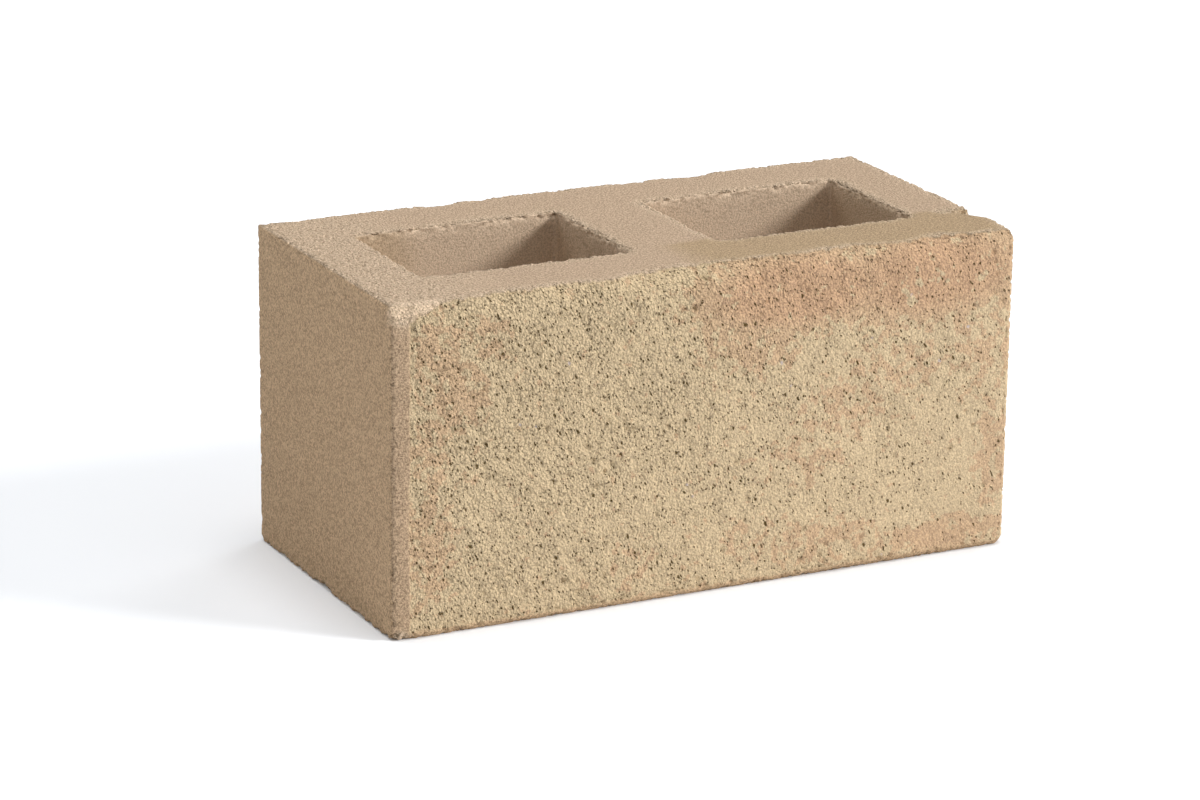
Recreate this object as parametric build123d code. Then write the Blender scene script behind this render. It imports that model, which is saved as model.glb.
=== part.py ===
from build123d import *
import math
import os

# A split-face concrete block: one cast piece with two cores right through it.
# Lengths are in millimetres. X runs along the block, Y runs from the split front
# at -Y to the moulded back at +Y, and Z is up. The origin is the middle of the
# bed face, on the level that the block stands on.

# Overall size of the block, with the proudest lumps of the split face
length = 390.0
depth = 190.0
height = 190.0

# Walls around the two cores, measured at the top where the cores are widest
end_wall = 40.5
web = 56.0
back_shell = 45.0
front_shell = 53.0

# Each core wall leans inward by the draft over the full height, so that the
# moulding pins can be drawn upward out of the fresh concrete
core_draft = 4.0
core_corner_radius = 3.0

# The block is cast joined to a twin in front of it, and the two are split apart.
# The solid starts this much deeper than the block, so that the break lies within
twin = 20.0

# The split face lies about this far behind its proudest lumps on average
split_mean = 1.37

# Long, low waves of the split face: (height of wave, length along X, length
# along Z, place along X), all in millimetres
split_waves = [
    (0.45, 173.0, 240.0, 12.0),
    (0.35, 97.0, -131.0, 35.0),
    (0.30, 61.0, 83.0, -20.0),
    (0.25, -47.0, 71.0, 5.0),
]

# Hollows where flakes came off: (centre x, height above the bed, half width,
# half height, depth)
split_hollows = [
    (62.0, 170.0, 34.0, 8.0, 2.2),
    (-12.0, 163.0, 16.0, 12.0, 1.4),
    (-118.0, 92.0, 30.0, 22.0, 0.9),
    (128.0, 74.0, 26.0, 18.0, 0.8),
]

# The break leans back as it nears the top, over this height. The table says how
# far its top edge lies behind the rest of the face: (x, setback)
top_setback_height = 16.0
top_setbacks = [
    (-195.0, 2.0),
    (-150.0, 2.0),
    (-127.0, 6.0),
    (-108.0, 4.0),
    (-86.0, 7.0),
    (-63.0, 3.5),
    (-38.0, 10.0),
    (-5.0, 10.5),
    (33.0, 9.5),
    (62.0, 7.0),
    (92.0, 8.5),
    (121.0, 5.0),
    (146.0, 9.0),
    (176.0, 3.0),
    (195.0, 3.0),
]

# Spacing of the points that carry the split surface, and how far the surface
# runs past the block so that the cut is clean
split_spacing_x = 12.0
split_spacing_z = 7.0
split_overrun = 12.0

# Moulded margin down the left end of the split face: a flat splay that turns
# the split face gently into the end face
margin_width = 10.0
margin_setback = 3.0

# The right end has no margin. Its front corner is worn to a small slanted flat
right_arris = 3.0

# Narrow band along the foot of the split face, pressed in and leaning under
foot_band_height = 3.5
foot_band_setback = 3.2

# The bottom corner at each end of the split face is broken off at a slant
corner_nip = 4.5

# The top corner at each end of the split face is worn to a slanted flat: how far
# below the top the wear reaches, and the way that the flat faces
left_top_wear = 6.0
left_top_wear_faces = (-0.20, -0.75, 0.65)
right_top_wear = 7.0
right_top_wear_faces = (1.0, -0.30, 0.45)

# A chip in the top edge of the right end: a steep step this far behind the front,
# from which the chip runs out toward the front corner
chip_step = 54.0
chip_length = 25.0
chip_width = 18.0
chip_depth = 4.5


def top_setback(x):
    """How far the top edge of the break lies behind the rest of the face at x."""
    if x <= top_setbacks[0][0]:
        return top_setbacks[0][1]
    for (low_x, low), (high_x, high) in zip(top_setbacks, top_setbacks[1:]):
        if x <= high_x:
            share = (x - low_x) / (high_x - low_x)
            return low + (high - low) * (1 - math.cos(math.pi * share)) / 2
    return top_setbacks[-1][1]


def split_depth(x, z):
    """How far the split face lies behind its proudest lumps at x and z."""
    recess = split_mean
    for wave, along_x, along_z, shift in split_waves:
        turn = (x - shift) / along_x + z / along_z
        recess += wave * math.cos(2 * math.pi * turn)
    for centre_x, centre_z, half_width, half_height, hollow in split_hollows:
        far = ((x - centre_x) / half_width) ** 2 + ((z - centre_z) / half_height) ** 2
        recess += hollow * math.exp(-far)
    lean = max(0.0, z - (height - top_setback_height)) / top_setback_height
    return recess + top_setback(x) * lean ** 2


def split_surface():
    """One smooth surface that follows the break, wider and taller than the block."""
    reach_x = length / 2 + split_overrun
    count_x = math.ceil(2 * reach_x / split_spacing_x)
    count_z = math.ceil((height + 2 * split_overrun) / split_spacing_z)
    rows = []
    for i in range(count_x + 1):
        x = -reach_x + 2 * reach_x * i / count_x
        row = []
        for j in range(count_z + 1):
            z = -split_overrun + (height + 2 * split_overrun) * j / count_z
            row.append(Vector(x, -depth / 2 + split_depth(x, z), z))
        rows.append(row)
    return Face.make_surface_from_array_of_points(rows)


def waste_in_front_of_split():
    """Everything in front of the break, which stays with the twin."""
    return extrude(split_surface(), amount=2 * twin, dir=(0, -1, 0))


def core(middle_x):
    """One core, a rounded rectangle that narrows evenly toward the bed."""
    top_length = (length - 2 * end_wall - web) / 2
    top_width = depth - back_shell - front_shell
    middle_y = (front_shell - back_shell) / 2
    overrun = 1.0
    steps = []
    for z in (-overrun, height + overrun):
        narrower = 2 * core_draft * (height - z) / height
        outline = RectangleRounded(top_length - narrower, top_width - narrower,
                                   core_corner_radius)
        steps.append(Plane((middle_x, middle_y, z)) * outline)
    return loft(steps, ruled=True)


def splay_waste(side, width, setback):
    """What an upright slanted flat takes off one end of the split face."""
    split_y = -depth / 2 + split_mean
    beyond = 2.0
    outer = (side * (length / 2 + beyond * width), split_y + setback * (1 + beyond))
    inner = (side * (length / 2 - (1 + beyond) * width), split_y - beyond * setback)
    corner = (outer[0], inner[1])
    outline = make_face(Polyline(outer, inner, corner, close=True))
    return extrude(outline, amount=height)


def foot_band_waste():
    """What the leaning band takes off along the foot of the split face."""
    split_y = -depth / 2 + split_mean
    beyond = 1.5
    low = (split_y + foot_band_setback * (1 + beyond), -foot_band_height * beyond)
    high = (split_y - foot_band_setback * beyond, foot_band_height * (1 + beyond))
    corner = (high[0], low[1])
    outline = make_face(Plane.YZ * Polyline(low, high, corner, close=True))
    return extrude(outline, amount=length / 2 + split_overrun, both=True)


def slanted_waste(point, outward):
    """A block of waste that lies beyond a plane through a point."""
    waste_size = length / 4
    beyond = Box(waste_size, waste_size, waste_size,
                 align=(Align.CENTER, Align.CENTER, Align.MIN))
    return Plane(origin=point, z_dir=outward) * beyond


def corner_nip_waste(side):
    """The slanted break at a bottom corner of the split face."""
    foot_y = -depth / 2 + split_mean + foot_band_setback
    point = (side * (length / 2 - corner_nip), foot_y, 0)
    return slanted_waste(point, (side, -1, -1))


def top_wear_waste(side, behind_front, reach, faces):
    """What wear takes off the top corner at one end of the split face."""
    point = (side * length / 2, -depth / 2 + split_mean + behind_front, height - reach)
    return slanted_waste(point, faces)


def chip_waste():
    """The chip in the top edge of the right end, deepest at its step."""
    step_y = -depth / 2 + chip_step
    deepest = Vector(length / 2, step_y, height - chip_depth)
    inner = Vector(length / 2 - chip_width, step_y, height)
    run_out = Vector(length / 2, step_y - chip_length, height)
    upward = (inner - deepest).cross(run_out - deepest)
    in_front_of_step = Pos(length / 2, step_y, height) * Box(
        2 * chip_width, 2 * chip_length, 4 * chip_depth,
        align=(Align.CENTER, Align.MAX, Align.CENTER))
    return slanted_waste(deepest, upward) & in_front_of_step


def split_face_block():
    """The whole block, cast as one piece and then split."""
    block = Pos(0, -twin / 2, height / 2) * Box(length, depth + twin, height)
    block -= waste_in_front_of_split()
    block -= foot_band_waste()
    core_pitch = (length - 2 * end_wall - web) / 2 + web
    for side in (-1, 1):
        block -= core(side * core_pitch / 2)
        block -= corner_nip_waste(side)
    block -= splay_waste(-1, margin_width, margin_setback)
    block -= splay_waste(1, right_arris, right_arris)
    block -= top_wear_waste(-1, margin_setback, left_top_wear, left_top_wear_faces)
    block -= top_wear_waste(1, right_arris, right_top_wear, right_top_wear_faces)
    block -= chip_waste()
    return block


os.makedirs("parts", exist_ok=True)
export_step(split_face_block(), "parts/split_face_block.step")
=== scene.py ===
"""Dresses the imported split-face block.

It casts the block in sand concrete and breaks its front face, lays a pale floor, and
places soft light and the camera. Everything is in the frame of the solid. Lengths are
in metres, or in millimetres where a comment says so.
"""

import math
import random

import bmesh
import bpy
import numpy as np
from mathutils import Euler, Matrix, Vector, kdtree, noise


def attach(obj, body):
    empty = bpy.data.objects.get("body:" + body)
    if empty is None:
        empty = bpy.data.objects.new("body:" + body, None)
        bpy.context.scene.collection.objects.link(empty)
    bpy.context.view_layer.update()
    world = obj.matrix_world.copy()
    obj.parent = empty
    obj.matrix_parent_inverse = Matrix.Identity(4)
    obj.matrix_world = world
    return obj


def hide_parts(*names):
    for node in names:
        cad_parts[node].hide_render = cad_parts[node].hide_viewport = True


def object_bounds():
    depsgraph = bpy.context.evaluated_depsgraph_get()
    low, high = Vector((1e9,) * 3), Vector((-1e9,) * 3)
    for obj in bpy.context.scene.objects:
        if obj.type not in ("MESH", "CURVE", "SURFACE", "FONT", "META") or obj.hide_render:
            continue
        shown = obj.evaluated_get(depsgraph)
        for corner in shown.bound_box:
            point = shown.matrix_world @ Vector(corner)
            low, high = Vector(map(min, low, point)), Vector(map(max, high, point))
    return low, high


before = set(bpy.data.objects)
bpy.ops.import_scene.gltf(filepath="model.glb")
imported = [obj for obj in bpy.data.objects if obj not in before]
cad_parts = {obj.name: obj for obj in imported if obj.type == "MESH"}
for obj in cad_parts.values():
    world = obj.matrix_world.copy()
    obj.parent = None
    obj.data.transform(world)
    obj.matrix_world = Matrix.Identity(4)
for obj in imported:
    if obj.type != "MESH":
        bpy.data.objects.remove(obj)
CAD_LOW, CAD_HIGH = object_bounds()
NODE = "split_face_block"
MM = 0.001

bl_info = {
    "name": "Split-face block",
    "version": (1, 0, 0),
    "blender": (4, 5, 0),
    "location": "3D View > Sidebar > Split-face block",
    "description": "Dresses a packed concrete block with its broken face, moulded skin, colour and light",
    "category": "Object",
}


def linear(hex_colour):
    """Turns an sRGB hex colour such as "c8b096" into linear red, green, blue and alpha."""
    channels = [int(hex_colour[i:i + 2], 16) / 255 for i in (0, 2, 4)]
    return [c / 12.92 if c <= 0.04045 else ((c + 0.055) / 1.055) ** 2.4 for c in channels] + [1.0]


def colour_property(name, description, hex_colour):
    """A colour that the user can change, with its default given as sRGB hex."""
    return bpy.props.FloatVectorProperty(
        name=name, description=description, subtype="COLOR", size=4, min=0.0, max=1.0,
        default=linear(hex_colour))


def length_property(name, description, millimetres):
    """A length that the user can change, with its default given in millimetres."""
    return bpy.props.FloatProperty(
        name=name, description=description, unit="LENGTH", min=0.0, precision=5,
        default=millimetres * MM)


def angle_property(name, description, degrees):
    """An angle that the user can change, with its default given in degrees."""
    return bpy.props.FloatProperty(
        name=name, description=description, subtype="ANGLE", default=math.radians(degrees))


def strength_property(name, description, strength):
    """A strength of light that the user can change."""
    return bpy.props.FloatProperty(
        name=name, description=description, subtype="UNSIGNED", min=0.0, default=strength)


class BreakSettings(bpy.types.PropertyGroup):
    """Sizes of the broken face and of the worn edges."""

    cast_step: length_property(
        "Cast step", "Spacing of the points that the cast surface starts from", 1.05)
    triangles: bpy.props.IntProperty(
        name="Triangles", description="Most triangles that the finished block may have",
        subtype="UNSIGNED", default=198000, min=20000, max=200000)
    lump_size: length_property("Lump size", "Width of the lumps that the break leaves", 17.0)
    lump_height: length_property("Lump height", "Height of those lumps", 0.45)
    streak_width: length_property("Streak width", "Width of the streaks that the break leaves", 6.0)
    streak_length: length_property("Streak length", "Length of those streaks", 19.0)
    streak_height: length_property("Streak height", "Height of those streaks", 0.4)
    grit_size: length_property("Grit size", "Width of the coarse sand grains in the break", 3.0)
    grit_height: length_property("Grit height", "How far the coarse grains stand out", 0.42)
    pit_count: bpy.props.IntProperty(
        name="Pits", description="How many places in the break may have lost a grain",
        subtype="UNSIGNED", default=700, min=0)
    pit_radius: length_property("Pit radius", "Radius of a common pit", 1.3)
    pit_depth: length_property("Pit depth", "Depth of a common pit", 1.1)
    margin_width: length_property(
        "Margin width", "Width of the moulded margin at the left end of the break", 10.0)
    margin_step: length_property(
        "Margin step", "How far the break stands in front of the margin", 0.7)
    band_height: length_property(
        "Foot band", "Height of the pressed band along the foot of the break", 3.5)
    skin_grain: length_property("Skin grain", "Depth of the sand texture of the top", 0.07)
    edge_reach: length_property(
        "Edge reach", "How far the wear of an edge reaches across the faces", 2.6)
    edge_wear: length_property("Edge wear", "How much is worn off a common edge", 0.05)
    crumb_size: length_property("Crumb size", "Width of the crumbs that fall off the edges", 3.2)
    crumb_depth: length_property("Crumb depth", "How deep the biggest of them reach", 2.3)
    rim_reach: length_property("Rim reach", "Width of the coarse strip along the top's edges", 8.0)
    loose_size: length_property("Loose grain size", "Width of the loose grains of that strip", 2.6)
    loose_depth: length_property("Loose grain depth", "Depth of the gaps between those grains", 2.2)
    corner_wear: length_property(
        "Corner wear", "How far the left top corner of the break is worn along the top", 19.0)
    lip_reach: length_property(
        "Lip reach", "How far the top edge of the break is rounded over", 6.0)


class ConcreteSettings(bpy.types.PropertyGroup):
    """Colours of the concrete."""

    sand_light: colour_property("Light sand", "The pale grains of the break", "dac29c")
    sand_dark: colour_property("Dark sand", "The dull grains of the break", "b5a082")
    # The colour of painted shade: in the open pores and the gaps between grains, and in bites, crumbs and
    # cracks
    shaded_pore: colour_property("Pores", "Shaded open pores of the break", "5b4929")
    iron: colour_property(
        "Iron tint", "What the sand's colour is multiplied by where iron stains it most", "f4e1de")
    quartz: colour_property("Quartz", "The few grey grains of the break", "bcaca3")
    skin: colour_property("Moulded skin", "The moulded ends and back", "c3a583")
    # A shade darker than the skin: partly the margin's own tone, partly painted shade of a face turned
    # from the main light
    margin: colour_property("Margin", "The moulded margin beside the break", "ba9f82")
    # Painted light: the core walls are paler than the moulded skin, for light that does not reach into
    # the deep cores
    core: colour_property("Core walls", "The walls of the two cores", "cdb69d")
    # Partly dust and partly painted sheen: the top is painted paler and less yellow than the moulded
    # sides
    dust_and_sheen: colour_property("Dusty top", "The moulded top, where dust takes the yellow off", "bca48b")
    worn: colour_property("Worn corners", "Fresh pale grains where corners are worn", "e8d0b4")
    # A darker strip of the top beside the break; the same colour is also the painted shade on parts of
    # the core walls
    dark_strip_and_shade: colour_property(
        "Smeared strip", "The strip of the top beside the break, smeared while wet", "b1997a")


class StageSettings(bpy.types.PropertyGroup):
    """The floor, the light and the camera."""

    floor: colour_property("Floor", "The pale floor", "f1f4f8")
    glow: strength_property("Glow", "Light that the floor gives off, as a lit table does", 0.045)
    light: strength_property("Light", "Strength of all the soft panels", 1.03)
    sky: strength_property("Sky", "Strength of the even light all round", 0.08)
    azimuth: angle_property("Azimuth", "Camera angle round the block", -27.03)
    elevation: angle_property("Elevation", "Camera angle above the floor", 17.51)
    roll: angle_property("Roll", "Tilt of the camera about its own axis", 0.757)
    distance: length_property("Distance", "Camera distance from the middle of the block", 2455.9)
    aim_right: length_property(
        "Aim right", "How far the block's middle stands right of the picture's", 20.85)
    aim_up: length_property(
        "Aim up", "How far the block's middle stands above the picture's", 7.85)
    lens: bpy.props.FloatProperty(
        name="Lens", description="Focal length in millimetres on a 36 mm wide sensor",
        unit="CAMERA", default=127.97)


# Half the width of the floor: wide enough that the photo's view doesn't show its edge
FLOOR_HALF = 12.0

# Width of the camera's sensor, in millimetres
SENSOR_WIDTH = 36.0

# Soft light panels far off: (name, direction round the block in degrees from +X,
# height in degrees, apparent width in degrees, strength)
PANELS = [
    ("right_panel", -37, 26, 18, 2.7),
    ("far_right_panel", 30, 18, 30, 0.8),
    ("back_panel", 120, 40, 40, 0.8),
    ("front_panel", -60, 63, 40, 0.35),
    ("left_panel", 215, 50, 40, 0.3),
    ("overhead_panel", 0, 90, 30, 1.45),
]

# Bites out of the edges and of the break: (x, y, z, radius, depth), in millimetres
BITES = [
    (-170, 95, 190, 7, 0.7), (-88, 95, 190, 5, 1.0), (-80, 95, 190, 6, 1.3), (-56, 95, 190, 5, 0.9),
    (38, 95, 190, 5, 0.9), (48, 95, 190, 6, 0.9), (70, 95, 190, 6, 0.8), (80, 95, 190, 6, 1.3),
    (88, 95, 190, 5, 1.4), (-195, 24, 190, 3, 1.2), (-195, 3, 190, 4, 1.4), (-195, -41, 190, 3, 1.3),
    (-195, -62, 190, 2.5, 1.0), (-195, -84, 190, 4, 1.3), (-195, 62, 190, 2.5, 1.0),
    (-195, 14, 0, 3, 1.6), (-195, 5, 0, 4, 2.6), (-195, -3, 0, 3, 1.6), (-195, 62, 0, 3, 1.6),
    (-195, 40, 0, 2.5, 1.5), (-195, 30, 0, 2, 1.2), (-195, -30, 0, 2.5, 1.5), (-195, -44, 0, 2, 1.2),
    (-195, -60, 0, 2.5, 1.7), (-195, -72, 0, 2, 1.3), (-195, -82, 0, 2.5, 1.8),
    (195, 5, 190, 5, 0.5), (195, -26, 190, 5, 0.5), (195, -39, 189, 1.8, 1.6),
    (-3.4, -90, 184.7, 2.2, 2.0), (-11.7, -93, 167.3, 2.0, 1.8), (187, -93, 148.7, 1.8, 1.8),
    (30, -90, 176, 6, 0.8), (55, -91, 172, 8, 0.9), (-37, -84, 190, 9, 0.8), (146, -86, 190, 8, 0.6),
]

# Painted shade in a bite is at its darkest from this depth on
DARK_BITE = 2.0 * MM

# Hairline cracks: (x, y and z of one end, then of the other), in millimetres. Their
# dark line is painted shade, and fades out over this reach
CRACKS = [((-195, 5, 0), (-195, 2.5, 12))]
CRACK_REACH = 0.8 * MM

# How far the painted shade takes the darkest bites and cracks, crumbs, and gaps
# between loose grains toward a pore's colour
BITE_SHADE, CRUMB_SHADE, GAP_SHADE = 0.8, 0.6, 0.5

# Corners worn down to fresh pale grains: (x, y, z, reach), in millimetres
WORN_CORNERS = [(-188, -92, 188, 13), (-176, -91, 189, 10), (-168, -90, 190, 7), (-190, -92, 1, 6)]

# How coarse those corners are, as a share of the coarsest strip along the top's edges,
# and how much of their own pale colour they show
WORN_COARSE, WORN_TINT = 0.4, 0.6

# Toward the left end the whole top grows coarse, from the first x to the second and up
# to this share of the coarsest strip
COARSE_TOP_X, COARSE_TOP = (-110 * MM, -165 * MM), 0.55

# A darker strip of the top beside the break, in millimetres. On each axis it fades
# in from the first place to the second
DARK_STRIP_Y, DARK_STRIP_X, DARK_STRIP_Z = (-36, -42), (-14, 10), (182, 184)

# Painted shade on parts of the core walls, which are made darker than the rest: (x, y,
# z, half length, half width, half height, strength), in millimetres. The first is the
# left end of the left core's back wall, by its corner, and the other two are the right
# wall of each core, turned away from the main light
SHADED_CORE_WALLS = [
    (-150, 48, 170, 40, 8, 60, 0.5),
    (-28, 4, 95, 8, 50, 200, 0.2),
    (154, 4, 95, 8, 50, 200, 0.35),
]

# They end at this height, just below the rims
SHADED_CORE_WALLS_END = 189

# Patches of the break that iron has stained pink: (x, z, half width, half height,
# strength), in millimetres
IRON_PATCHES = [
    (54, 170, 66, 24, 1.6), (140, 170, 70, 28, 1.5), (176, 130, 30, 36, 0.6), (26, 150, 34, 22, 0.9),
    (-166, 158, 18, 26, 0.75), (-156, 136, 20, 22, 0.75), (-172, 105, 14, 26, 0.7),
    (-174, 50, 18, 38, 0.75), (-136, 166, 16, 14, 0.6), (84, 96, 40, 22, 0.5), (60, 74, 28, 18, 0.5),
    (118, 118, 34, 20, 0.5), (20, 30, 14, 12, 0.5), (-48, 22, 14, 18, 0.45), (66, 20, 40, 16, 0.6),
    (150, 12, 48, 12, 1.0), (186, 60, 14, 34, 0.75),
]

# How far behind the front of the solid's box the break, its top edge, and the margin
# beside it may lie
BREAK_ZONE, LIP_ZONE, MARGIN_ZONE = 25 * MM, 20 * MM, 6 * MM

# The cores and their rims stay at least this far from the outer faces
OUTER_WALL = 30 * MM

# Way that the streaks of the break run: down to the right, this steeply
STREAK_ANGLE = math.radians(64)

# How rough the break is: at its middle, then what it gains per half height and per
# half length, and in patches of that size
ROUGH_MIDDLE, ROUGH_UP, ROUGH_RIGHT = 1.03, 0.20, -0.38
ROUGH_PATCHY, ROUGH_PATCH_SIZE = 0.12, 45 * MM

# Pits come in clusters of this size. A pit's radius and its depth vary by these factors
PIT_CLUSTER = 34 * MM
PIT_RADII, PIT_DEPTHS = (0.8, 1.7), (0.5, 1.3)
PIT_SEED = 11

# An edge of the solid is sharp where its two faces turn by more than this. The cast
# block is softened this far to each side of it
SHARP_ANGLE = math.radians(24)
SOFT_REACH = 2.2 * MM

# Moulded faces have this share of the sand texture that the struck-off top has
MOULDED_SHARE = 0.2

# The edges of the cores crumble this much farther out than others. Crumbs also fall
# more readily there, and most readily off the foot of the left end
CORE_CRUMB_REACH, CORE_CRUMBS, LEFT_FOOT_CRUMBS = 0.7, 0.2, 0.35

# Where each pattern is read from the noise, so that no two of them look alike
NOISE_SHIFTS = {
    "lumps": 0.0, "ragged": 3.0, "skin": 7.0, "grit": 17.0, "crumbs": 29.0, "rough": 41.0,
    "softness": 53.0, "dark_strip_and_shade": 61.0, "streaks": 71.0, "loose": 83.0, "strip": 97.0,
}

# Each finer layer of that noise is half as strong and half as wide as the one before
NOISE_FALL, NOISE_STEP = 1.0, 2.0

# What each point of the mesh stores for the material
MASKS = ("broken", "rough", "iron", "hollow", "dust_and_sheen", "dark_strip_and_shade", "margin", "core", "worn", "rim")

# Sockets of the mixing node: its share, its two numbers, its two colours, and the
# colour that comes out
SHARE, NUMBER_A, NUMBER_B, COLOUR_A, COLOUR_B, COLOUR_OUT = 0, 2, 3, 6, 7, 2

WHITE = (1.0, 1.0, 1.0, 1.0)

# Sizes of the material's patterns, in millimetres. Sand of this kind has grains from
# 0.3 to 2 mm. The finest are drawn as coarse as 1.15 mm, which is two pixels of the
# photo, because finer ones would only blur
GRAIN_SPACING = 1.5
SPECKLE_SIZE = 1.2
MOULDED_GRAIN, TOP_GRAIN = 1.15, 1.3
PORE_CLUSTER = 7.0
STAIN_SIZE = 6.5

# The patterns wander up to this far off their places, over waves of this size
WANDER_REACH, WANDER_SIZE = 1.8, 1.8

# Grains, and open pores, are this much longer along the streaks than across them
GRAIN_STRETCH, PORE_STRETCH = 1.15, 1.8

# Open pores of the break: (spacing, radius, rough share of places that have one)
PORES = [(1.9, 0.54, 0.9), (3.2, 0.74, 0.68), (6.0, 1.0, 0.5)]

# Grey quartz grains of the break: spacing, share of places that have one, and radius
QUARTZ_SPACING, QUARTZ_SHARE, QUARTZ_RADIUS = 8.0, 0.05, 1.3

# A dot is full over this share of its radius
DOT_HEART = 0.45

# Relief that the material adds, in millimetres: rise of a sand grain of the break,
# of its speckle and of the moulded skin's texture, depth of an open pore, and rise
# of a loose grain along the top's edges
GRAIN_RISE, SPECKLE_RISE, SKIN_RISE, PORE_SINK, RIM_RISE = 0.6, 0.65, 1.3, 1.0, 1.4

# Core walls are smoother: they have this share of the skin's relief, and of its contrast
CORE_RELIEF, CORE_CONTRAST = 0.4, 0.6

# What the skin's colour is multiplied by in the hollows of its texture, as painted
# shade, and on its grains, partly their own tone and partly painted light
HOLLOW_SHADE_TONE, GRAIN_TONE_AND_LIGHT = (0.52, 0.51, 0.48, 1), (1.22, 1.22, 1.23, 1)


def per_metre(millimetres):
    """The scale of a pattern whose features repeat every so many millimetres."""
    return 1000 / millimetres


def smooth_step(start, end, value):
    """0 up to start, 1 from end on, and a smooth rise between them. End may be the smaller."""
    t = np.clip((value - start) / (end - start), 0.0, 1.0)
    return t * t * (3.0 - 2.0 * t)


def fractal_noise(points, size, layers, pattern):
    """Smooth noise of about -1 to 1 at each point, with features of that size in metres."""
    places = points / size + NOISE_SHIFTS[pattern]
    return np.array([noise.fractal(Vector(p), NOISE_FALL, NOISE_STEP, layers) for p in places])


def vertex_array(mesh, key):
    """A vertex property of a mesh, such as its co or normal, as rows of three numbers."""
    values = np.empty(len(mesh.vertices) * 3, dtype=np.float32)
    mesh.vertices.foreach_get(key, values)
    return values.reshape(-1, 3).astype(float)


def inside_box(points):
    """The points, moved into the solid's own box, as one flat row of numbers."""
    return np.clip(points, np.array(CAD_LOW), np.array(CAD_HIGH)).astype(np.float32).ravel()


def applied(block, name, kind, **settings):
    """Adds a modifier to the block, and makes its result the block's own mesh."""
    modifier = block.modifiers.new(name, kind)
    for key, value in settings.items():
        setattr(modifier, key, value)
    shown = block.evaluated_get(bpy.context.evaluated_depsgraph_get())
    mesh = bpy.data.meshes.new_from_object(shown)
    block.modifiers.clear()
    old, block.data = block.data, mesh
    bpy.data.meshes.remove(old)


def point_tree(points):
    """A search tree of points."""
    tree = kdtree.KDTree(len(points))
    for i, point in enumerate(points):
        tree.insert(Vector(point), i)
    tree.balance()
    return tree


def distances(tree, points):
    """How far each point lies from the nearest point of the tree."""
    return np.array([tree.find(Vector(p))[2] for p in points])


def sharp_edge_points(mesh, spacing):
    """Points along the sharp edges of the solid, for finding how near an edge a place is."""
    form = bmesh.new()
    form.from_mesh(mesh)
    bmesh.ops.remove_doubles(form, verts=form.verts, dist=0.01 * MM)
    points = []
    for edge in form.edges:
        if len(edge.link_faces) == 2 and edge.calc_face_angle(0.0) > SHARP_ANGLE:
            start, end = (v.co for v in edge.verts)
            count = max(1, math.ceil(edge.calc_length() / spacing))
            points += [start.lerp(end, i / count) for i in range(count + 1)]
    form.to_mesh(mesh)
    form.free()
    return points


def streak_noise(points, settings):
    """Noise of about -1 to 1 that is drawn out along the streaks of the break."""
    x, y, z = points.T
    run = (x * math.cos(STREAK_ANGLE) - z * math.sin(STREAK_ANGLE)) / settings.streak_length
    across = (x * math.sin(STREAK_ANGLE) + z * math.cos(STREAK_ANGLE)) / settings.streak_width
    places = np.column_stack((across, y / settings.streak_width, run))
    return fractal_noise(places, 1.0, 2, "streaks")


def roughness(points):
    """How rough the break is at each point: most near its top and its left end."""
    x, _, z = points.T
    up = (z - CAD_HIGH.z / 2) / (CAD_HIGH.z / 2)
    right = x / CAD_HIGH.x
    patchy = ROUGH_PATCHY * fractal_noise(points, ROUGH_PATCH_SIZE, 2, "rough")
    return ROUGH_MIDDLE + ROUGH_UP * up + ROUGH_RIGHT * right + patchy


def break_mask(points, normals, lip_distance, settings):
    """1 where a point lies on the broken face, 0 on the moulded skin."""
    x, y, z = points.T
    ragged = fractal_noise(points, 5 * MM, 2, "ragged")
    blend = 0.5 * MM

    # It ends at the margin, and farther in at the worn left top corner
    worn_height = 11 * MM
    corner = settings.corner_wear * smooth_step(-worn_height, 0.0, z - CAD_HIGH.z + MM * ragged)
    inner = x - CAD_LOW.x - settings.margin_width - corner + 0.5 * MM * ragged
    above = z - settings.band_height + 0.8 * MM * ragged
    mask = smooth_step(-blend, blend, inner) * smooth_step(-blend, 0.7 * MM, above)

    # At the top it takes in a ragged strip on the far side of its edge
    front = smooth_step(0.25, 0.5, -normals[:, 1]) * (y < CAD_LOW.y + BREAK_ZONE)
    over_lip = smooth_step(blend, -blend, lip_distance - (1.6 + 1.8 * ragged) * MM)
    return mask * np.maximum(front, over_lip)


def iron_mask(points):
    """The strength of each stained patch inside it, 0 away from them."""
    x, _, z = points.T / MM
    stain = np.zeros(len(points))
    for centre_x, centre_z, half_width, half_height, strength in IRON_PATCHES:
        away = np.hypot((x - centre_x) / half_width, (z - centre_z) / half_height)
        stain = np.maximum(stain, strength * (1 - smooth_step(0.4, 1.5, away)))
    return stain


def beside_cores(points):
    """1 at the two cores and their rims, 0 near the outer faces."""
    x, y, _ = points.T
    along = np.abs(x) < CAD_HIGH.x - OUTER_WALL
    return along * (y < CAD_HIGH.y - OUTER_WALL) * (y > CAD_LOW.y + OUTER_WALL)


def core_mask(points, normals):
    """1 on the walls of the two cores, 0 elsewhere."""
    return beside_cores(points) * (1 - smooth_step(0.5, 0.95, np.abs(normals[:, 2])))


def margin_mask(points, normals, broken, settings):
    """1 on the moulded margin beside the break, 0 elsewhere."""
    x, y, z = points.T
    front = smooth_step(0.35, 0.75, -normals[:, 1]) * (y < CAD_LOW.y + MARGIN_ZONE)
    beside = (x < CAD_LOW.x + settings.margin_width + 2 * MM) * (z < CAD_HIGH.z - 8 * MM)
    return (1 - broken) * front * beside


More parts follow.
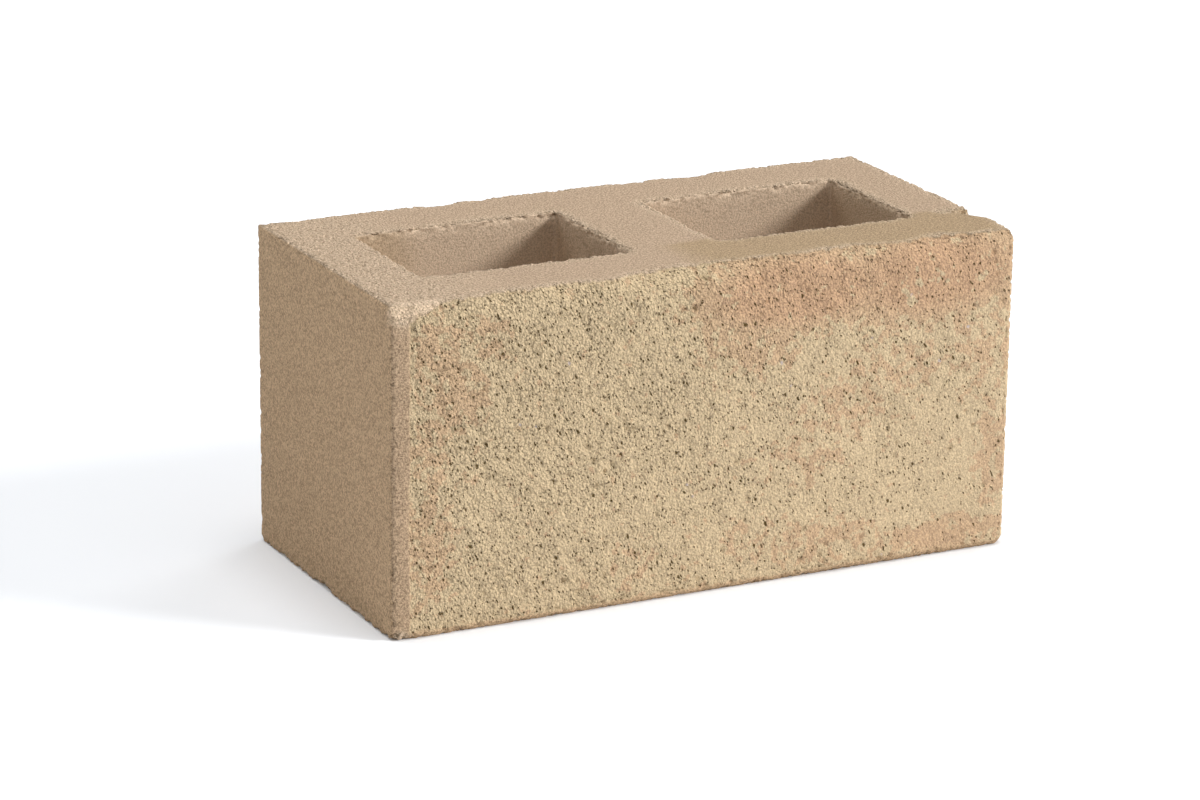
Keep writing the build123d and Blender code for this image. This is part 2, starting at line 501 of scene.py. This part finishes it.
def worn_mask(points):
    """1 at the worn top corner and foot of the left end of the break, 0 elsewhere."""
    worn = np.zeros(len(points))
    for x, y, z, reach in WORN_CORNERS:
        away = np.linalg.norm(points - np.array((x, y, z)) * MM, axis=1) / MM
        worn = np.maximum(worn, smooth_step(reach, 0.4 * reach, away))
    return worn


def rim_mask(points, normals, nearness, broken, worn, settings):
    """1 on the coarse strip along the edges of the top, less where it is worn, 0 elsewhere."""
    patchy = fractal_noise(points, 16 * MM, 3, "strip")
    strip = smooth_step(1.0, 0.0, nearness / settings.rim_reach + 0.35 * patchy)
    left = COARSE_TOP * smooth_step(*COARSE_TOP_X, points[:, 0] + 14 * MM * patchy)
    top = np.maximum(strip, left) * smooth_step(0.5, 0.9, normals[:, 2])
    kept = 1 - (1 - WORN_COARSE) * worn
    return np.maximum(top * kept, WORN_COARSE * worn) * (1 - broken)


def dark_strip_and_shade_mask(points):
    """1 on the darker strip of the top beside the break, and the strength of the painted shade on parts
    of the core walls.
    """
    x, y, z = points.T / MM
    ragged = 3 * fractal_noise(points, 20 * MM, 3, "dark_strip_and_shade")
    strip = smooth_step(*DARK_STRIP_Y, y + ragged) * smooth_step(*DARK_STRIP_X, x + 2 * ragged)
    dark_strip_and_shade = strip * smooth_step(*DARK_STRIP_Z, z)
    below_rims = z < SHADED_CORE_WALLS_END
    # Painted shade on parts of the core walls, each at its own strength
    for centre_x, centre_y, centre_z, long, wide, high, strength in SHADED_CORE_WALLS:
        across = ((x - centre_x) / long) ** 2 + ((y - centre_y) / wide) ** 2
        away = np.sqrt(across + ((z - centre_z) / high) ** 2)
        dull = strength * smooth_step(1.1, 0.5, away + 0.08 * ragged) * below_rims
        dark_strip_and_shade = np.maximum(dark_strip_and_shade, dull)
    return dark_strip_and_shade


def surface_masks(points, normals, nearness, lip_distance, settings):
    """What each point is made of and looks like, painted light and shade included, by the names in MASKS.
    Only the painted shade of bites, crumbs, gaps and cracks is left out.
    """
    broken = break_mask(points, normals, lip_distance, settings)
    worn = worn_mask(points)
    return {
        "broken": broken,
        "rough": roughness(points),
        "iron": iron_mask(points),
        "dust_and_sheen": smooth_step(0.5, 0.95, normals[:, 2]),
        "dark_strip_and_shade": dark_strip_and_shade_mask(points),
        "margin": margin_mask(points, normals, broken, settings),
        "core": core_mask(points, normals),
        "worn": WORN_TINT * worn,
        "rim": rim_mask(points, normals, nearness, broken, worn, settings),
    }


def weight_group(block, name, weights):
    """Makes a vertex group of the points whose weight is above nothing."""
    group = block.vertex_groups.new(name=name)
    for i in np.nonzero(weights > 0.01)[0]:
        group.add([int(i)], float(weights[i]), "REPLACE")


def soften(block, nearness, settings):
    """Rounds the edges a little in patches, and the top edge of the break more."""
    points = vertex_array(block.data, "co")
    patchy = 0.65 + 0.5 * fractal_noise(points, 14 * MM, 2, "softness")
    edge = (nearness < SOFT_REACH) * np.clip(patchy, 0.2, 1.0)
    weight_group(block, "edge", edge)
    high = smooth_step(0.0, settings.lip_reach, points[:, 2] - CAD_HIGH.z + settings.lip_reach)
    near_break = points[:, 1] < CAD_LOW.y + LIP_ZONE
    lip = high * near_break * smooth_step(settings.lip_reach, 0.0, nearness)
    weight_group(block, "lip", lip)
    applied(block, "soft_edge", "SMOOTH", factor=0.5, iterations=1, vertex_group="edge")
    applied(block, "soft_lip", "SMOOTH", factor=0.5, iterations=6, vertex_group="lip")


def skin_depths(points, normals, settings):
    """Depth of the sand texture at each point, faint except on the struck-off top."""
    struck = MOULDED_SHARE + (1 - MOULDED_SHARE) * smooth_step(0.5, 0.9, normals[:, 2])
    return settings.skin_grain * struck * (1 + fractal_noise(points, 2.4 * MM, 2, "skin"))


def loose_depths(points, rim, settings):
    """Depth of the gaps between loose grains along the top's edges, and their painted shade."""
    depth, shade = np.zeros(len(points)), np.zeros(len(points))
    loose = np.nonzero(rim > 0.02)[0]
    gaps = fractal_noise(points[loose], settings.loose_size, 2, "loose")
    depth[loose] = settings.loose_depth * rim[loose] * np.maximum(gaps + 0.1, 0.0)
    shade[loose] = GAP_SHADE * rim[loose] * smooth_step(0.5, 0.8, gaps)
    return depth, shade


def pit_depths(points, broken, settings):
    """Depth of the pits of the break: grains dropped out, mostly in clusters."""
    depth = np.zeros(len(points))
    on_break = np.nonzero(broken > 0.5)[0]
    tree = point_tree(points[on_break])
    dice = random.Random(PIT_SEED)
    for _ in range(settings.pit_count):
        centre = Vector(points[on_break[dice.randrange(len(on_break))]])
        crowd = noise.fractal(centre / PIT_CLUSTER, NOISE_FALL, NOISE_STEP, 2)
        if dice.random() > 0.6 + 0.8 * crowd:
            continue
        radius = settings.pit_radius * dice.uniform(*PIT_RADII)
        sink = settings.pit_depth * dice.uniform(*PIT_DEPTHS)
        for _, i, distance in tree.find_range(centre, radius):
            depth[on_break[i]] += sink * (1 - (distance / radius) ** 2)
    return depth


def bite_depths(points):
    """Depth of the named bites out of the edges and the break."""
    depth = np.zeros(len(points))
    for x, y, z, radius, sink in BITES:
        away = np.linalg.norm(points - np.array((x, y, z)) * MM, axis=1) / (radius * MM)
        depth += sink * MM * np.exp(-away ** 2)
    return depth


def break_depths(points, broken, settings):
    """Depth of the broken surface below its proudest grains: lumps, streaks and grit."""
    depth = np.zeros(len(points))
    inside = np.nonzero(broken > 0.01)[0]
    there = points[inside]

    # Noise seldom goes past this, so it is where the proudest grains stand
    proudest = 0.8
    relief = settings.lump_height * (proudest - fractal_noise(there, settings.lump_size, 2, "lumps"))
    relief += settings.streak_height * (proudest - streak_noise(there, settings))
    relief += settings.grit_height * (proudest - fractal_noise(there, settings.grit_size, 2, "grit"))
    depth[inside] = broken[inside] * roughness(there) * np.maximum(relief, 0.0)
    return depth


def margin_depths(points, broken, settings):
    """Depth that sets the margin back from the break, growing from the end face inward."""
    from_margin = points[:, 0] - CAD_LOW.x - settings.margin_width
    on_front = points[:, 1] < CAD_LOW.y + MARGIN_ZONE
    on_margin = (1 - broken) * on_front * (from_margin < 1 * MM)
    return on_margin * settings.margin_step * smooth_step(-settings.margin_width, 0.0, from_margin)


def edge_depths(points, nearness, settings):
    """Depth of the wear and the crumbs of the edges, and the painted shade of the crumbs."""
    depth, shade = np.zeros(len(points)), np.zeros(len(points))
    by_cores = beside_cores(points)
    reach = settings.edge_reach * (1 + CORE_CRUMB_REACH * by_cores)
    worn = np.nonzero(nearness < reach)[0]
    closeness = 1 - nearness[worn] / reach[worn]
    crumble = fractal_noise(points[worn], settings.crumb_size, 3, "crumbs")
    left_foot = (points[worn, 0] < CAD_LOW.x + 4 * MM) * (points[worn, 2] < 4 * MM)
    crumble += LEFT_FOOT_CRUMBS * left_foot + CORE_CRUMBS * by_cores[worn]
    crumbs = settings.crumb_depth * closeness * smooth_step(0.0, 0.75, crumble)
    depth[worn] = crumbs + settings.edge_wear * closeness * np.maximum(1 + crumble, 0.0)
    shade[worn] = CRUMB_SHADE * smooth_step(0.5, 0.9, crumbs / settings.crumb_depth)
    return depth, shade


def crack_shade(points):
    """Painted shade: 1 on the hairline cracks, 0 away from them."""
    shade = np.zeros(len(points))
    for start, end in CRACKS:
        start, end = np.array(start) * MM, np.array(end) * MM
        run = end - start
        share = np.clip((points - start) @ run / (run @ run), 0.0, 1.0)
        away = np.linalg.norm(points - start - share[:, None] * run, axis=1)
        shade = np.maximum(shade, smooth_step(CRACK_REACH, 0.0, away))
    return shade


def weather(block, nearness, masks, settings):
    """Gives the smooth cast block its grain: everything goes inward from the moulded size.

    Returns the painted shade of each point that lies in a bite, a crumb, a gap or a crack.
    """
    mesh = block.data
    points, normals = vertex_array(mesh, "co"), vertex_array(mesh, "normal")
    broken = masks["broken"]
    loose, loose_shade = loose_depths(points, masks["rim"], settings)
    bites = bite_depths(points)
    edges, edge_shade = edge_depths(points, nearness, settings)
    depth = skin_depths(points, normals, settings) + loose
    depth += pit_depths(points, broken, settings) + bites
    depth += break_depths(points, broken, settings)
    depth += margin_depths(points, broken, settings)
    depth += edges
    mesh.vertices.foreach_set("co", inside_box(points - normals * depth[:, None]))
    mesh.update()

    # Painted shade: bites, crumbs, gaps between loose grains and cracks are darkened toward the pores'
    # colour
    shade = BITE_SHADE * smooth_step(0.3 * DARK_BITE, DARK_BITE, bites)
    shade += edge_shade
    shade += loose_shade
    return np.clip(np.maximum(shade, BITE_SHADE * crack_shade(points)), 0.0, 1.0)


def add_attribute(mesh, name, values):
    """Stores one number for each point of the mesh, which the material reads by name."""
    attribute = mesh.attributes.new(name, "FLOAT", "POINT")
    attribute.data.foreach_set("value", np.asarray(values, dtype=np.float32))


def node(tree, kind, inputs=None, **settings):
    """Adds a shader node with its settings, and gives each input a value or a socket's link."""
    made = tree.nodes.new(kind)
    for key, value in settings.items():
        setattr(made, key, value)
    for socket, given in (inputs or {}).items():
        if isinstance(given, bpy.types.NodeSocket):
            tree.links.new(given, made.inputs[socket])
        else:
            made.inputs[socket].default_value = given
    return made


def streaked_place(tree, place, wander, stretch):
    """Where to read a pattern that is drawn out along the streaks and wanders a little."""
    turned = node(tree, "ShaderNodeMapping", {
        "Vector": place, "Rotation": (0, STREAK_ANGLE - math.pi / 2, 0), "Scale": (1, 1, stretch),
    }, vector_type="TEXTURE").outputs[0]
    return node(tree, "ShaderNodeVectorMath", {
        0: wander, 1: (WANDER_REACH * MM,) * 3, 2: turned,
    }, operation="MULTIPLY_ADD").outputs[0]


def random_dots(tree, place, spacing, share, radius):
    """1 on a round dot in some of the cells of a pattern. The share may be a number or a socket."""
    cells = node(tree, "ShaderNodeTexVoronoi", {"Vector": place, "Scale": per_metre(spacing)})
    chance = node(tree, "ShaderNodeSeparateColor", {"Color": cells.outputs["Color"]}).outputs["Red"]
    chosen = node(tree, "ShaderNodeMath", {0: chance, 1: share}, operation="LESS_THAN").outputs[0]
    dot = node(tree, "ShaderNodeMapRange", {
        "Value": cells.outputs["Distance"], "From Min": radius / spacing,
        "From Max": DOT_HEART * radius / spacing,
    }, interpolation_type="SMOOTHSTEP").outputs[0]
    return node(tree, "ShaderNodeMath", {0: chosen, 1: dot}, operation="MULTIPLY").outputs[0]


def sand_grains(tree, place, streaked, rough):
    """The rounded sand grains of the break: distance from a grain's middle, dome, speckle, tone."""
    cells = node(tree, "ShaderNodeTexVoronoi", {
        "Vector": streaked, "Scale": per_metre(GRAIN_SPACING)})
    dome = node(tree, "ShaderNodeMapRange", {
        "Value": cells.outputs["Distance"], "From Min": 0.75, "From Max": 0.0,
    }, interpolation_type="SMOOTHSTEP").outputs[0]

    # Each grain has its own tone. Speckle goes over it, and where the break is rougher
    # it is also cleaner, and so paler
    own_tone = node(tree, "ShaderNodeSeparateColor", {
        "Color": cells.outputs["Color"]}).outputs["Green"]
    speckle = node(tree, "ShaderNodeTexNoise", {
        "Vector": place, "Scale": per_metre(SPECKLE_SIZE), "Detail": 1.0, "Roughness": 0.6,
    }).outputs["Fac"]
    speckled = node(tree, "ShaderNodeMath", {0: own_tone, 1: 0.22, 2: speckle},
                    operation="MULTIPLY_ADD").outputs[0]
    cleaner = node(tree, "ShaderNodeMath", {0: rough, 1: 0.15, 2: speckled},
                   operation="MULTIPLY_ADD").outputs[0]
    tone = node(tree, "ShaderNodeMapRange", {
        "Value": cleaner, "From Min": 0.53, "From Max": 0.95}).outputs[0]
    return cells.outputs["Distance"], dome, speckle, tone


def open_pores(tree, streaked, grain_distance, rough):
    """The gaps between all grains, and the break's pores and gaps whose shade is painted into its colour,
    crowded where it is rough.
    """
    crowd = node(tree, "ShaderNodeTexNoise", {
        "Vector": streaked, "Scale": per_metre(PORE_CLUSTER), "Detail": 2.0, "Roughness": 0.55,
    }).outputs["Fac"]
    crowded = node(tree, "ShaderNodeMath", {0: crowd, 1: rough}, operation="MULTIPLY").outputs[0]
    gap = node(tree, "ShaderNodeMapRange", {
        "Value": grain_distance, "From Min": 0.60, "From Max": 0.80,
    }, interpolation_type="SMOOTHSTEP").outputs[0]
    gap_share = node(tree, "ShaderNodeMapRange", {
        "Value": crowded, "From Min": 0.36, "From Max": 0.66, "To Min": 0.0, "To Max": 0.35,
    }).outputs[0]
    shaded_pore = node(tree, "ShaderNodeMath", {0: gap, 1: gap_share}, operation="MULTIPLY").outputs[0]
    for spacing, radius, share in PORES:
        room = node(tree, "ShaderNodeMapRange", {
            "Value": crowded, "From Min": 0.36, "From Max": 0.74,
            "To Min": 0.4 * share, "To Max": 1.3 * share,
        }).outputs[0]
        hole = random_dots(tree, streaked, spacing, room, radius)
        shaded_pore = node(tree, "ShaderNodeMath", {0: hole, 1: shaded_pore}, operation="MAXIMUM").outputs[0]
    return gap, shaded_pore


def iron_stain(tree, place, iron):
    """How strongly iron stains the sand: ragged patches, where the block's own map lets them be."""
    ragged = node(tree, "ShaderNodeTexNoise", {
        "Vector": place, "Scale": per_metre(STAIN_SIZE), "Detail": 2.0, "Roughness": 0.6,
    }).outputs["Fac"]
    chance = node(tree, "ShaderNodeMath", {0: iron, 1: 1.0}, operation="MINIMUM").outputs[0]
    level = node(tree, "ShaderNodeMath", {0: chance, 1: 0.30, 2: ragged},
                 operation="MULTIPLY_ADD").outputs[0]
    stained = node(tree, "ShaderNodeMapRange", {
        "Value": level, "From Min": 0.62, "From Max": 0.70,
    }, interpolation_type="SMOOTHSTEP").outputs[0]
    strength = node(tree, "ShaderNodeMapRange", {
        "Value": iron, "From Min": 0.9, "From Max": 1.5, "To Min": 0.62}).outputs[0]
    return node(tree, "ShaderNodeMath", {0: stained, 1: strength}, operation="MULTIPLY").outputs[0]


def sand_colour(tree, colours, streaked, tone, stain):
    """The colour of the break between its pores: pale and dull sand, iron stain and grey quartz."""
    sand = node(tree, "ShaderNodeMix", {
        SHARE: tone, COLOUR_A: colours.sand_dark, COLOUR_B: colours.sand_light,
    }, data_type="RGBA").outputs[COLOUR_OUT]
    tint = node(tree, "ShaderNodeMix", {
        SHARE: stain, COLOUR_A: WHITE, COLOUR_B: colours.iron,
    }, data_type="RGBA").outputs[COLOUR_OUT]
    stained = node(tree, "ShaderNodeMix", {
        SHARE: 1.0, COLOUR_A: sand, COLOUR_B: tint,
    }, data_type="RGBA", blend_type="MULTIPLY").outputs[COLOUR_OUT]
    quartz = random_dots(tree, streaked, QUARTZ_SPACING, QUARTZ_SHARE, QUARTZ_RADIUS)
    return node(tree, "ShaderNodeMix", {
        SHARE: quartz, COLOUR_A: stained, COLOUR_B: colours.quartz,
    }, data_type="RGBA").outputs[COLOUR_OUT]


def skin_texture(tree, place, dust_and_sheen):
    """The fine sand texture of the moulded skin, tight on moulded faces and more open on the top."""
    moulded = node(tree, "ShaderNodeTexNoise", {
        "Vector": place, "Scale": per_metre(MOULDED_GRAIN), "Detail": 2.0, "Roughness": 0.75,
    }).outputs["Fac"]
    top = node(tree, "ShaderNodeTexNoise", {
        "Vector": place, "Scale": per_metre(TOP_GRAIN), "Detail": 3.0, "Roughness": 0.75,
    }).outputs["Fac"]
    return node(tree, "ShaderNodeMix", {SHARE: dust_and_sheen, NUMBER_A: moulded, NUMBER_B: top}).outputs[0]


def skin_colour(tree, colours, mask, texture, gap):
    """The colour of the moulded skin: the tone of each face, with painted light and shade, its texture,
    and the painted shade of a few open gaps.
    """
    skin = colours.skin
    # Tones of the faces: the top partly dust and partly painted sheen, the core walls paler as painted
    # light, a darker strip of the top and painted shade on parts of the core walls, the margin darker
    # partly as painted shade, and the worn corners
    for name in ("dust_and_sheen", "core", "dark_strip_and_shade", "margin", "worn"):
        skin = node(tree, "ShaderNodeMix", {
            SHARE: mask[name], COLOUR_A: skin, COLOUR_B: getattr(colours, name),
        }, data_type="RGBA").outputs[COLOUR_OUT]
    loose = node(tree, "ShaderNodeMath", {0: mask["rim"], 1: 0.6}, operation="MULTIPLY").outputs[0]
    skin = node(tree, "ShaderNodeMix", {
        SHARE: loose, COLOUR_A: skin, COLOUR_B: colours.worn,
    }, data_type="RGBA").outputs[COLOUR_OUT]

    # The texture darkens that tone in its hollows, as painted shade, and lightens it on
    # its grains, less so on the core walls
    grain = node(tree, "ShaderNodeMapRange", {
        "Value": texture, "From Min": 0.34, "From Max": 0.62}).outputs[0]
    contrast = node(tree, "ShaderNodeMix", {
        SHARE: grain, COLOUR_A: HOLLOW_SHADE_TONE, COLOUR_B: GRAIN_TONE_AND_LIGHT,
    }, data_type="RGBA").outputs[COLOUR_OUT]
    calm = node(tree, "ShaderNodeMapRange", {
        "Value": mask["core"], "To Min": 1.0, "To Max": CORE_CONTRAST}).outputs[0]
    skin = node(tree, "ShaderNodeMix", {
        SHARE: calm, COLOUR_A: skin, COLOUR_B: contrast,
    }, data_type="RGBA", blend_type="MULTIPLY").outputs[COLOUR_OUT]

    # Painted shade in the gaps between grains: faint everywhere, and plain along the top's edges
    gap_share = node(tree, "ShaderNodeMath", {0: mask["rim"], 1: 0.5, 2: 0.05},
                     operation="MULTIPLY_ADD").outputs[0]
    painted_gap_shade = node(tree, "ShaderNodeMath", {0: gap, 1: gap_share}, operation="MULTIPLY").outputs[0]
    return node(tree, "ShaderNodeMix", {
        SHARE: painted_gap_shade, COLOUR_A: skin, COLOUR_B: colours.shaded_pore,
    }, data_type="RGBA").outputs[COLOUR_OUT]


def fine_relief(tree, mask, dome, speckle, shaded_pore, texture):
    """Height in millimetres of the relief that the mesh is too coarse for."""
    domes = node(tree, "ShaderNodeMath", {0: dome, 1: GRAIN_RISE}, operation="MULTIPLY").outputs[0]
    ripple = node(tree, "ShaderNodeMath", {0: speckle, 1: SPECKLE_RISE, 2: domes},
                  operation="MULTIPLY_ADD").outputs[0]
    sunk = node(tree, "ShaderNodeMath", {0: shaded_pore, 1: -PORE_SINK, 2: ripple},
                operation="MULTIPLY_ADD").outputs[0]
    split = node(tree, "ShaderNodeMath", {0: sunk, 1: mask["rough"]},
                 operation="MULTIPLY").outputs[0]

    loose = node(tree, "ShaderNodeMath", {0: dome, 1: mask["rim"]}, operation="MULTIPLY").outputs[0]
    loose_rise = node(tree, "ShaderNodeMath", {0: loose, 1: RIM_RISE},
                      operation="MULTIPLY").outputs[0]
    skin_rise = node(tree, "ShaderNodeMapRange", {
        "Value": mask["core"], "To Min": SKIN_RISE, "To Max": CORE_RELIEF * SKIN_RISE}).outputs[0]
    skin = node(tree, "ShaderNodeMath", {0: texture, 1: skin_rise, 2: loose_rise},
                operation="MULTIPLY_ADD").outputs[0]
    return node(tree, "ShaderNodeMix", {
        SHARE: mask["broken"], NUMBER_A: skin, NUMBER_B: split}).outputs[0]


def sand_concrete(colours):
    """Dry-cast sand concrete, split on the front and moulded elsewhere.

    The break shows bare rounded sand grains, pale and dull, with open pores between
    them, so it looks coarse and speckled with small shadows, partly from the bump and
    partly painted shade in the colour. The moulded skin is finer, flatter and a little
    duller. Both are matt, because the cement is porous.
    """
    material = bpy.data.materials.new("dry_cast_sand_concrete")
    material.use_nodes = True
    tree = material.node_tree
    tree.nodes.clear()
    place = node(tree, "ShaderNodeTexCoord").outputs["Object"]
    mask = {}
    for name in MASKS:
        mask[name] = node(tree, "ShaderNodeAttribute", attribute_name=name).outputs["Fac"]
    wander = node(tree, "ShaderNodeTexNoise", {
        "Vector": place, "Scale": per_metre(WANDER_SIZE)}).outputs["Color"]
    grain_place = streaked_place(tree, place, wander, GRAIN_STRETCH)
    pore_place = streaked_place(tree, place, wander, PORE_STRETCH)

    grain_distance, dome, speckle, tone = sand_grains(tree, place, grain_place, mask["rough"])
    gap, shaded_pore = open_pores(tree, pore_place, grain_distance, mask["rough"])
    stain = iron_stain(tree, place, mask["iron"])
    sand = sand_colour(tree, colours, grain_place, tone, stain)
    # Painted shade in the pores and the gaps between grains of the break
    split = node(tree, "ShaderNodeMix", {
        SHARE: shaded_pore, COLOUR_A: sand, COLOUR_B: colours.shaded_pore,
    }, data_type="RGBA").outputs[COLOUR_OUT]

    texture = skin_texture(tree, place, mask["dust_and_sheen"])
    skin = skin_colour(tree, colours, mask, texture, gap)
    surface = node(tree, "ShaderNodeMix", {
        SHARE: mask["broken"], COLOUR_A: skin, COLOUR_B: split,
    }, data_type="RGBA").outputs[COLOUR_OUT]
    # Painted shade in bites, crumbs, gaps between loose grains and cracks
    shaded = node(tree, "ShaderNodeMix", {
        SHARE: mask["hollow"], COLOUR_A: surface, COLOUR_B: colours.shaded_pore,
    }, data_type="RGBA").outputs[COLOUR_OUT]

    height = fine_relief(tree, mask, dome, speckle, shaded_pore, texture)
    bump = node(tree, "ShaderNodeBump", {"Strength": 1.0, "Distance": MM, "Height": height})
    concrete = node(tree, "ShaderNodeBsdfPrincipled", {
        "Base Color": shaded, "Normal": bump.outputs[0],
        "Roughness": 0.95, "IOR": 1.5, "Specular IOR Level": 0.2,
    }).outputs[0]
    node(tree, "ShaderNodeOutputMaterial", {"Surface": concrete})
    return material


class CastBlock(bpy.types.Operator):
    """Casts the block from its solid, breaks its front face, wears its edges and colours it"""

    bl_idname = "split_block.cast"
    bl_label = "Cast and split the block"

    def execute(self, context):
        settings = context.scene.split_block_break
        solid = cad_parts[NODE]
        block = bpy.data.objects.new("split_block_cast", solid.data.copy())
        context.scene.collection.objects.link(block)
        edges = sharp_edge_points(block.data, 1.0 * MM)
        lip = [p for p in edges if p.z > CAD_HIGH.z - 1 * MM and p.y < CAD_LOW.y + LIP_ZONE]

        applied(block, "cast", "REMESH", mode="VOXEL", voxel_size=settings.cast_step)
        points, normals = vertex_array(block.data, "co"), vertex_array(block.data, "normal")
        nearness = distances(point_tree(edges), points)
        lip_distance = distances(point_tree(lip), points)
        masks = surface_masks(points, normals, nearness, lip_distance, settings)
        soften(block, nearness, settings)
        masks["hollow"] = weather(block, nearness, masks, settings)
        for name in MASKS:
            add_attribute(block.data, name, masks[name])

        # The cast surface is made of squares, which are two triangles each
        triangles = 2 * len(block.data.polygons)
        applied(block, "thin", "DECIMATE", ratio=settings.triangles / triangles)
        if len(block.data.polygons) > settings.triangles * 1.01:
            raise RuntimeError("the block has too many triangles")
        block.data.vertices.foreach_set("co", inside_box(vertex_array(block.data, "co")))
        block.data.update()
        block.data.shade_smooth()
        block.data.materials.clear()
        block.data.materials.append(sand_concrete(context.scene.split_block_colours))
        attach(block, "root")
        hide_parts(NODE)
        return {"FINISHED"}


def lay_floor(scene, settings):
    """Lays the pale floor that the block stands on."""
    mesh = bpy.data.meshes.new("floor")
    corners = [(-FLOOR_HALF, -FLOOR_HALF, 0), (FLOOR_HALF, -FLOOR_HALF, 0),
               (FLOOR_HALF, FLOOR_HALF, 0), (-FLOOR_HALF, FLOOR_HALF, 0)]
    mesh.from_pydata(corners, [], [(0, 1, 2, 3)])
    floor = bpy.data.objects.new("floor", mesh)
    scene.collection.objects.link(floor)

    # Matt white board, lit a little from below: it shows soft shadows and no shine
    board = bpy.data.materials.new("matt_white_board")
    board.use_nodes = True
    sockets = board.node_tree.nodes["Principled BSDF"].inputs
    sockets["Base Color"].default_value = settings.floor
    sockets["Roughness"].default_value = 0.9
    sockets["Emission Color"].default_value = WHITE
    sockets["Emission Strength"].default_value = settings.glow
    mesh.materials.append(board)


def light_room(scene, settings):
    """Sets a faint even light all round, and hangs the soft panels."""
    world = bpy.data.worlds.new("studio")
    world.use_nodes = True
    sockets = world.node_tree.nodes["Background"].inputs
    sockets["Color"].default_value = WHITE
    sockets["Strength"].default_value = settings.sky
    scene.world = world
    for name, azimuth, elevation, width, strength in PANELS:
        light = bpy.data.lights.new(name, "SUN")
        light.energy = strength * settings.light
        light.angle = math.radians(width)
        lamp = bpy.data.objects.new(name, light)
        scene.collection.objects.link(lamp)
        toward = Vector((1, 0, 0))
        toward.rotate(Euler((0, -math.radians(elevation), math.radians(azimuth))))
        lamp.rotation_euler = toward.to_track_quat("Z", "Y").to_euler()


def place_camera(scene, settings):
    """Places the camera at the photo's angle, and shows colours as they are."""
    camera = bpy.data.cameras.new("camera")
    camera.lens = settings.lens
    camera.sensor_width = SENSOR_WIDTH
    camera.clip_start = 50 * MM
    view = bpy.data.objects.new("camera", camera)
    scene.collection.objects.link(view)
    azimuth, elevation, roll = settings.azimuth, settings.elevation, settings.roll
    back = Vector((math.sin(azimuth) * math.cos(elevation),
                   -math.cos(azimuth) * math.cos(elevation), math.sin(elevation)))
    level = Vector((math.cos(azimuth), math.sin(azimuth), 0.0))
    upright = back.cross(level)
    right = level * math.cos(roll) + upright * math.sin(roll)
    up = upright * math.cos(roll) - level * math.sin(roll)
    middle = Vector((0, 0, (CAD_LOW.z + CAD_HIGH.z) / 2))
    place = middle + back * settings.distance - right * settings.aim_right - up * settings.aim_up
    turn = Matrix((right, up, back)).transposed().to_4x4()
    view.matrix_world = Matrix.Translation(place) @ turn
    scene.camera = view
    scene.view_settings.view_transform = "Standard"


class SetStage(bpy.types.Operator):
    """Lays the pale floor, and places the soft light and the camera"""

    bl_idname = "split_block.stage"
    bl_label = "Set the stage"

    def execute(self, context):
        settings = context.scene.split_block_stage
        lay_floor(context.scene, settings)
        light_room(context.scene, settings)
        place_camera(context.scene, settings)
        return {"FINISHED"}


class BlockPanel(bpy.types.Panel):
    """Lists the steps that build the block and its stage"""

    bl_idname = "VIEW3D_PT_split_block"
    bl_label = "Split-face block"
    bl_space_type = "VIEW_3D"
    bl_region_type = "UI"
    bl_category = "Split-face block"

    def draw(self, context):
        for operator in OPERATORS:
            self.layout.operator(operator.bl_idname)


OPERATORS = (CastBlock, SetStage)
GROUPS = {
    "split_block_break": BreakSettings,
    "split_block_colours": ConcreteSettings,
    "split_block_stage": StageSettings,
}


def register():
    for kind in (*GROUPS.values(), *OPERATORS, BlockPanel):
        bpy.utils.register_class(kind)
    for name, group in GROUPS.items():
        setattr(bpy.types.Scene, name, bpy.props.PointerProperty(type=group))


def unregister():
    for name in GROUPS:
        delattr(bpy.types.Scene, name)
    for kind in (BlockPanel, *OPERATORS, *GROUPS.values()):
        bpy.utils.unregister_class(kind)


def main():
    """Builds everything."""
    register()
    bpy.ops.split_block.cast()
    bpy.ops.split_block.stage()


if __name__ == "__main__":
    main()
